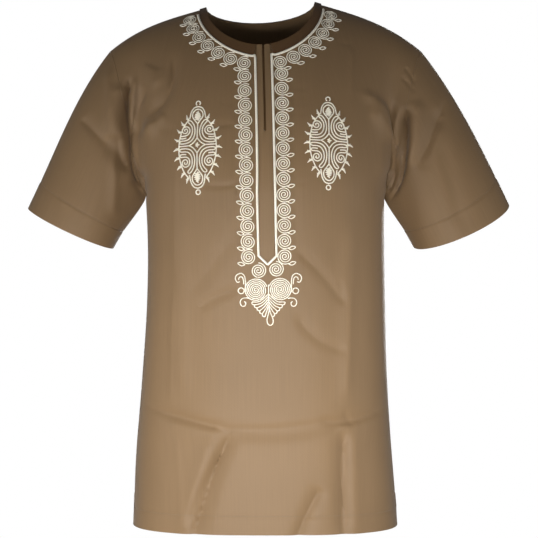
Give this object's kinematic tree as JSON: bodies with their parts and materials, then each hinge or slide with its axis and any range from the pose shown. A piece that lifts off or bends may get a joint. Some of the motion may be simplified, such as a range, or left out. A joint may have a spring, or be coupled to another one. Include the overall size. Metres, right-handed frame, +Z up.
{
  "type": "embroidered pullover shirt",
  "caption": "Worn-open cotton satin pullover shirt with short set-in sleeves, side vents, and a banded round neck with a front slit, placket and corded edge.",
  "frame": {"origin": "middle of the neck, level with the high points of the shoulders, where the wearer's shoulders hold it", "axes": "+Z up the body, -Y out of the front, +X towards the wearer's left"},
  "size_m": [0.6942, 0.2472, 0.7533],
  "materials": {
    "cloth": "satin",
    "binding": "satin",
    "thread": "satin"
  },
  "bodies": {
    "root": {"front": "cloth", "back": "cloth", "right_sleeve": "cloth", "left_sleeve": "cloth", "right_neckband": "binding", "left_neckband": "binding", "back_neckband": "binding", "placket": "binding", "underlap": "binding", "neck_cord": "thread"}
  },
  "joints": []
}
